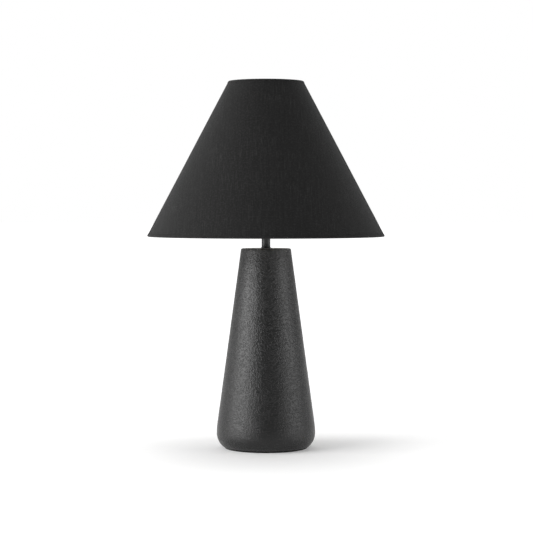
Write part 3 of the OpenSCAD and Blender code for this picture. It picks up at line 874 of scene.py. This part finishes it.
# %% Make the bulb
tip = turned("bulb_contact", soften([(0, 374.3), (2.4, 374.32, 0.8), (3.6, 374.9, 0.6), (4.6, 375.8, 0.1),
                                     (0, 375.8)], 0.2, 4), 48)
fit(tip, "bulb_contact", solder)
glass = turned("bulb_insulator", soften([(0, 375.9), (5.2, 375.9, 0.5), (8.6, 377.0, 1.2), (11.5, 378.9, 0.2),
                                         (0, 378.9)], 0.3, 4), 64)
fit(glass, "bulb_insulator", vitrite)
low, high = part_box("bulb_screw_cap")
screw_cap = turned("bulb_screw_cap", split(soften([
    (11.35, low.z / MM), (11.9, low.z / MM), (12.15, 380.2, 0.6), (12.15, high.z / MM), (11.6, high.z / MM)],
    0.1, 2), 0.42), 96)
ribbed(screw_cap, nickel, 1, SOCKET_PITCH, 0.72, 380.2, 397.6, 1.6, 5)
fit(screw_cap, "bulb_screw_cap", nickel)
housing = turned("bulb_housing", soften([
    (12.3 - 1.5, 389), (11.2, 389), (11.2, 399.2, 0.1), (13.5, 399.2, 0.4), (14.1, 403, 2), (18.3, 416, 3),
    (25.1, 430, 3), (26.5, 435.2, 0.3), (26.5, 436, 0.2), (25.0, 436, 0.2), (23.7, 430.6, 3), (16.8, 416.6, 3),
    (12.6, 403.4, 2), (10.8, 399.5, 1)], 0.2, 5), 144)
fit(housing, "bulb_housing", bulb_white)
DOME_Z, DOME_R, DOME_T = 450, 30, 1.5
start = math.degrees(math.asin((436.1 - DOME_Z) / DOME_R))
dome = turned("bulb_diffuser", bend((0, DOME_Z), DOME_R, start, 90, 44)
              + bend((0, DOME_Z), DOME_R - DOME_T, 90, start, 30), 144)
fit(dome, "bulb_diffuser", frosted)

# %% [markdown]
# ## The shade's linen
#
# A cone is one of the few round shapes that can be cut flat: its cloth is a piece of a wide ring. The flat
# cut is modelled first, on the cutting table, with each point's place there kept as its UV map. A rule then
# rolls it up: a point's distance from the ring's centre becomes its place on the slant, and its angle grows
# until the two ends meet and lap at the back. The rule also gives the cloth its slight unevenness, because
# cloth laminated on a sheet is never dead flat, and lifts the lap by the cloth's own thickness.

# %% Measure the cone
cloth_points = [(Vector((v.co.x, v.co.y)).length, v.co.z) for v in solids["shade_fabric"].data.vertices]
wide_r, wide_z = max(cloth_points)
top_z = max(z for _, z in cloth_points)
narrow_r = max(r for r, z in cloth_points if z > top_z - 0.01 * MM)
slant = Vector((narrow_r - wide_r, top_z - wide_z))
CONE = -slant.x / slant.length
LAP, CLOTH = 9 * MM, 0.6 * MM
rho_wide, rho_narrow = wide_r / CONE, narrow_r / CONE
opening = TURN * CONE
print("cone: wide radius", round(wide_r, 4), "narrow", round(narrow_r, 4), "opens to", round(math.degrees(opening), 1))


# %% Cut the linen flat
def flat_cut(name, across, along):
    """The cloth's cut: a part of a ring, laid round the origin and open at the top, with a lap on one end."""
    points, faces = [], []
    lap_angle = LAP / rho_wide
    for step in range(across + 1):
        angle = -opening / 2 + (opening + lap_angle) * step / across
        for row in range(along + 1):
            rho = rho_narrow + (rho_wide - rho_narrow) * row / along
            points.append((rho * math.sin(angle), -rho * math.cos(angle), 0))
    for step in range(across):
        for row in range(along):
            corner = step * (along + 1) + row
            faces.append((corner, corner + 1, corner + along + 2, corner + along + 1))
    piece = made(name, points, faces)
    uv = piece.data.uv_layers.new(name="flat_cut")
    for loop in piece.data.loops:
        uv.data[loop.index].uv = points[loop.vertex_index][:2]
    return piece


linen_cut = flat_cut("shade_linen", 460, 84)


# %% Build the rolling rule
def rolling_rule():
    tree, given = rule("roll_cloth", Cone=CONE, Wide_Radius=wide_r, Wide_Height=wide_z, Fall=slant.y / slant.length,
                       Half_Opening=opening / 2, Lap_Lift=CLOTH, Wave_Size=0.06, Wave_Height=0.0002, Seed=3, Cloth=None)
    place = node(tree, "GeometryNodeInputPosition").outputs[0]
    x, y, _ = node(tree, "ShaderNodeSeparateXYZ", {0: place}).outputs
    rho = vector("LENGTH", place)
    cut_angle = calc("ARCTAN2", x, times(y, -1.0))
    turn_angle = calc("DIVIDE", cut_angle, given["Cone"])
    past = times(minus(cut_angle, given["Half Opening"]), rho)
    sway = minus(seeded_noise(place, given["Seed"], given["Wave Size"]), 0.35)
    lift = plus(times(spread(past, -0.003, 0.0005), given["Lap Lift"]), times(sway, given["Wave Height"]))
    radius = times(rho, given["Cone"])
    down = calc("DIVIDE", minus(given["Wide Radius"], radius), given["Cone"])
    height = plus(given["Wide Height"], times(down, given["Fall"]))
    radius = plus(radius, lift)
    rolled = node(tree, "ShaderNodeCombineXYZ", {
        0: times(radius, calc("SINE", turn_angle)),
        1: times(radius, times(calc("COSINE", turn_angle), -1.0)), 2: height}).outputs[0]
    moved = node(tree, "GeometryNodeSetPosition", {"Geometry": given[0], "Position": rolled}).outputs[0]
    return close_rule(tree, moved, given["Cloth"])


# %% Roll the linen round the shade
shade_linen = grown(linen_cut, rolling_rule(), Cloth=linen)
facing_out = sum(face.normal.dot(Vector((face.center.x, face.center.y, 0))) for face in shade_linen.data.polygons)
if facing_out < 0:
    shade_linen.data.flip_normals()
thick = shade_linen.modifiers.new("cloth_thickness", "SOLIDIFY")
thick.thickness, thick.offset = CLOTH * 0.8, -1.0
shade_linen.data.shade_smooth()
fit(shade_linen, "shade_fabric", linen)

# %% [markdown]
# ### The lining and the rolled hems
#
# Behind the linen is a sheet of white styrene, which keeps the cone stiff and throws the light out of the top
# and the bottom. At each end the linen is rolled over the wire ring and stuck down inside. The hem's section
# goes round the wire and down the inner face, and its raw edge shows as a fine step on the outside.

# %% Make the lining and the hems
cone_way = Vector((-CONE, slant.y / slant.length))
cone_in = Vector((-cone_way.y, cone_way.x))
skin_foot = Vector((wide_r, wide_z)) / MM
HEM_R, PROUD, HEM_T, INNER_LEG, OUTER_LEG, RING_R = 1.5, 0.3, 0.4, 7, 2.4, 1.0
RING_DEPTH = HEM_R - PROUD


def on_cone(way, depth):
    """A point of the shade's section: way up the slant from the linen's foot, and depth inwards, in mm."""
    return skin_foot + cone_way * way + cone_in * depth


SKIN_L, LINING_OUT, LINING_IN = slant.length / MM, 0.7, 1.5
lining_section = [on_cone(0, LINING_OUT), on_cone(SKIN_L, LINING_OUT), on_cone(SKIN_L, LINING_IN),
                  on_cone(0, LINING_IN)]
lining = turned("shade_lining", split(soften(lining_section, 0.2, 2), 12), 240)
fit(lining, "shade_lining", styrene)


def hem(name, ring_way, way):
    """A rolled hem round a ring, with its legs up (1) or down (-1) the slant."""
    centre = on_cone(ring_way, RING_DEPTH)
    out = math.degrees(math.atan2(-cone_in.y, -cone_in.x))
    under = 1.6
    outline = [on_cone(ring_way + way * OUTER_LEG, -0.03), on_cone(ring_way + way * (OUTER_LEG - 0.05), -PROUD)]
    outline += bend(centre, HEM_R, out, out - way * 180, 14)
    outline += [on_cone(ring_way + way * INNER_LEG, under + HEM_T), on_cone(ring_way + way * INNER_LEG, under),
                on_cone(ring_way + way * HEM_R, RING_DEPTH + HEM_R - HEM_T)]
    outline += bend(centre, HEM_R - HEM_T, out - way * 180, out, 10) + [on_cone(ring_way, -0.03)]
    return turned(name, outline, 300, crease=HEM_CREASE)


ring_low, ring_high = -HEM_R + 0.2, SKIN_L + HEM_R - 0.2
hems = [fit(hem(name, ring_way, way), name, hem_linen)
        for name, ring_way, way in (("bottom_trim", ring_low, 1), ("top_trim", ring_high, -1))]

# %% [markdown]
# ### The rings and the spider
#
# A wire ring in each hem holds the shade round. The spider is a pierced disc with three arms that run out
# level below the rim and then rise to the top ring, so that the finial sits out of sight inside the shade.

# %% Bend the rings and the spider
def ring_path(centre, count):
    """Points round a ring whose wire's centre is at that radius and height, in millimetres."""
    return [(centre.x * MM * math.cos(TURN * i / count), centre.x * MM * math.sin(TURN * i / count), centre.y * MM)
            for i in range(count)]


for name, way in (("bottom_ring", ring_low), ("top_ring", ring_high)):
    fit(wire(name, ring_path(on_cone(way, RING_DEPTH), 200), RING_R * MM, steel, closed=True, sides=10), name, steel)
ring_centre = on_cone(ring_high, RING_DEPTH)
ARM_Z = 524.2
arm_profile = [Vector((7.5, 523.4)), Vector((10.5, ARM_Z)), Vector((40, ARM_Z)),
               Vector((ring_centre.x - 7, ring_centre.y)), Vector((ring_centre.x - 0.4, ring_centre.y))]
arm_curve = [arm_profile[0]] + soften(arm_profile, 3.5, 6)[7:-7] + [arm_profile[-1]]
arms = []
for arm in (90, 210, 330):
    spoke = Matrix.Rotation(math.radians(arm), 3, "Z")
    path = [spoke @ Vector((p.x * MM, 0, p.y * MM)) for p in arm_curve]
    arms.append(wire("arm", path, 1.1 * MM, steel, sides=14))
hub = turned("hub", soften([(3.4, 522.5), (11, 522.5), (11, 524), (3.4, 524)], 0.3, 3), 72)
fit(joined("spider", hub, *arms), "spider", steel)

# %% [markdown]
# ## The finial
#
# The finial holds the shade down on the harp: a threaded brass insert with a flange, and a small black knob
# with a soft waist that covers it.

# %% Turn the finial
insert = turned("finial_insert", soften([
    (3.25, 524.1), (7.5, 524.1, 0.3), (7.5, 525.6, 0.3), (4.5, 525.6), (4.5, 538.1, 0.4), (0, 538.1), (0, 536.6),
    (3.25, 536.6)], 0.2, 3), 64)
fit(insert, "finial_insert", turned_brass)
grip = turned("finial_knob", soften([
    (4.55, 525.7), (7.0, 525.7, 0.8), (7.4, 527.6, 1.2), (6.6, 529.6, 1.4), (8.9, 533.6, 2.4), (8.9, 538.0, 2.6),
    (6.6, 543.4, 2.4), (2.5, 545.0, 1.0), (0, 545.1), (0, 538.3), (4.55, 538.3)], 0.3, 5), 96)
fit(grip, "finial_knob", paint)

# %% [markdown]
# ## The room
#
# The lamp stands on a pale seamless floor. It is lit as a product is: one large soft light on the left and a
# weaker one on the right, which draw two bands down the glossy base, a dark room in front of it, which keeps
# the middle of the base black, and a broad light from above and behind that washes the floor out to white.
# The floor's finish also glows: painted light that rises with the distance from the lamp and is weakest round
# its foot, where it leaves painted shade.

# %% Lay the floor
GLOW_NEAR, GLOW_FURTHER = (0.07, 0.30, 0.22, 0.43), ((0.3, 0.9, 0.14), (0.8, 5.0, 0.35), (1.1, 1.7, 0.17))


def floor_finish():
    """White paper whose painted glow grows with its distance from the lamp, so that it meets the white room; the glow
    is weakest near the lamp, which paints shade round its foot.
    """
    material, tree, skin = shader("seamless_paper", Roughness=0.9, Specular_IOR_Level=0.1,
                                  Emission_Color=(1, 1, 1, 1))
    place = node(tree, "ShaderNodeTexCoord").outputs["Object"]
    away = vector("LENGTH", place)
    # Painted glow: emission that rises with the distance from the lamp; its low value near the lamp is painted shade
    # round the foot
    painted_glow = spread(away, *GLOW_NEAR)
    for near, far, more in GLOW_FURTHER:
        painted_glow = plus(painted_glow, spread(away, near, far, 0.0, more))
    tree.links.new(painted_glow, skin.inputs["Emission Strength"])
    paper = spread(cloud(place, 0.4), 0.3, 0.7)
    tree.links.new(mixed(paper, grey(0.78), grey(0.80)), skin.inputs["Base Color"])
    return material


bpy.ops.mesh.primitive_plane_add(size=60, location=(0, 0, cad_low.z - 0.0001))
floor = bpy.context.object
floor.name = "floor"
floor.data.materials.append(floor_finish())
floor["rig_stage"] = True


# %% Light the room
def softbox(name, place, size, power, aim=(0, 0, 0.28)):
    """A rectangular soft light that points at a place and isn't seen itself."""
    data = bpy.data.lights.new(name, "AREA")
    data.shape, data.size, data.size_y, data.energy = "RECTANGLE", *size, power
    light = bpy.data.objects.new(name, data)
    light.location = place
    light.rotation_euler = (Vector(aim) - Vector(place)).to_track_quat("-Z", "Y").to_euler()
    light.visible_camera = False
    scene.collection.objects.link(light)


softbox("window_left", (-1.65, -0.73, 0.70), (1.65, 1.45), 45)
softbox("window_right", (1.60, -0.52, 0.50), (1.2, 0.9), 12)
softbox("ceiling_back", (0.2, 1.3, 2.4), (3.2, 2.2), 34, (0, 0.4, 0))

world = scene.world or bpy.data.worlds.new("room")
scene.world = world
world.use_nodes = True
sky = world.node_tree
sky.nodes.clear()
BRIGHT_SIDE = (-0.45, 0.89, 0)
way = vector("DOT_PRODUCT", node(sky, "ShaderNodeTexCoord").outputs["Generated"], BRIGHT_SIDE)
brightness = spread(way, -0.7, 0.95, 0.004, 0.36)
room = node(sky, "ShaderNodeBackground", {"Color": (1, 1, 1, 1), "Strength": brightness})
seen = node(sky, "ShaderNodeBackground", {"Color": (1, 1, 1, 1), "Strength": 1.0})
sight = node(sky, "ShaderNodeLightPath").outputs["Is Camera Ray"]
both = node(sky, "ShaderNodeMixShader", {0: sight, 1: room.outputs[0], 2: seen.outputs[0]})
node(sky, "ShaderNodeOutputWorld", {0: both.outputs[0]})
scene.view_settings.view_transform = "Standard"

# %% [markdown]
# ## The size
#
# How far the dressed lamp grows past the box of its measured model, each way, is printed. The dressed lamp has
# to fill the same box as its measured model.

# %% Print how far the lamp grows
low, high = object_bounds()
print("grows by", [round((high[i] - cad_high[i]) / MM, 2) for i in range(3)],
      [round((cad_low[i] - low[i]) / MM, 2) for i in range(3)], "mm")
